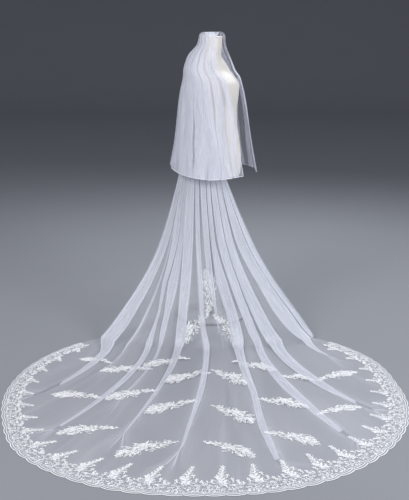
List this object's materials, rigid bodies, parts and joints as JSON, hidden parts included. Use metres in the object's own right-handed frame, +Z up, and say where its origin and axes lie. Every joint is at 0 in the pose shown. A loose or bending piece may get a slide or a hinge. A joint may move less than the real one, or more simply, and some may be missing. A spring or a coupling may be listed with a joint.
{
  "type": "bridal veil on a dress form",
  "caption": "Two tier cathedral bridal veil of plain tulle with a scalloped lace hem and lace motifs, worn by a limbless dress form on a round stand, its train spread on the floor.",
  "frame": {"origin": "middle of the underside of the stand's base, on the floor", "axes": "+Z up, -Y the way that the train runs out over the floor, +X to the right seen from the train's end; the form faces 30 degrees from +X towards -Y"},
  "size_m": [1.7762, 2.2673, 1.56],
  "materials": {
    "tulle": "soft nylon net, see-through in one layer and cool white where it is gathered",
    "lace": "matt ivory white corded lace",
    "form_shell": "cream shell of a display form",
    "form_cap": "plain cream neck cap",
    "stand_paint": "mid grey satin paint",
    "comb_plastic": "clear white comb"
  },
  "bodies": {
    "root": {"form_torso": "form_shell", "form_neck_cap": "form_cap", "stand_pole": "stand_paint", "stand_base": "stand_paint", "veil_comb": "comb_plastic", "veil_upper_tier": "tulle", "veil_train": "tulle", "lace_border": "lace", "motif_hanging_middle": "lace", "motif_hanging_left": "lace", "motif_hanging_right": "lace", "motif_inner_1": "lace", "motif_inner_2": "lace", "motif_inner_3": "lace", "motif_inner_4": "lace", "motif_inner_5": "lace", "motif_inner_6": "lace", "motif_middle_1": "lace", "motif_middle_2": "lace", "motif_middle_3": "lace", "motif_middle_4": "lace", "motif_middle_5": "lace", "motif_middle_6": "lace", "motif_outer_1": "lace", "motif_outer_2": "lace", "motif_outer_3": "lace", "motif_outer_4": "lace", "motif_outer_5": "lace", "motif_outer_6": "lace"}
  },
  "joints": []
}
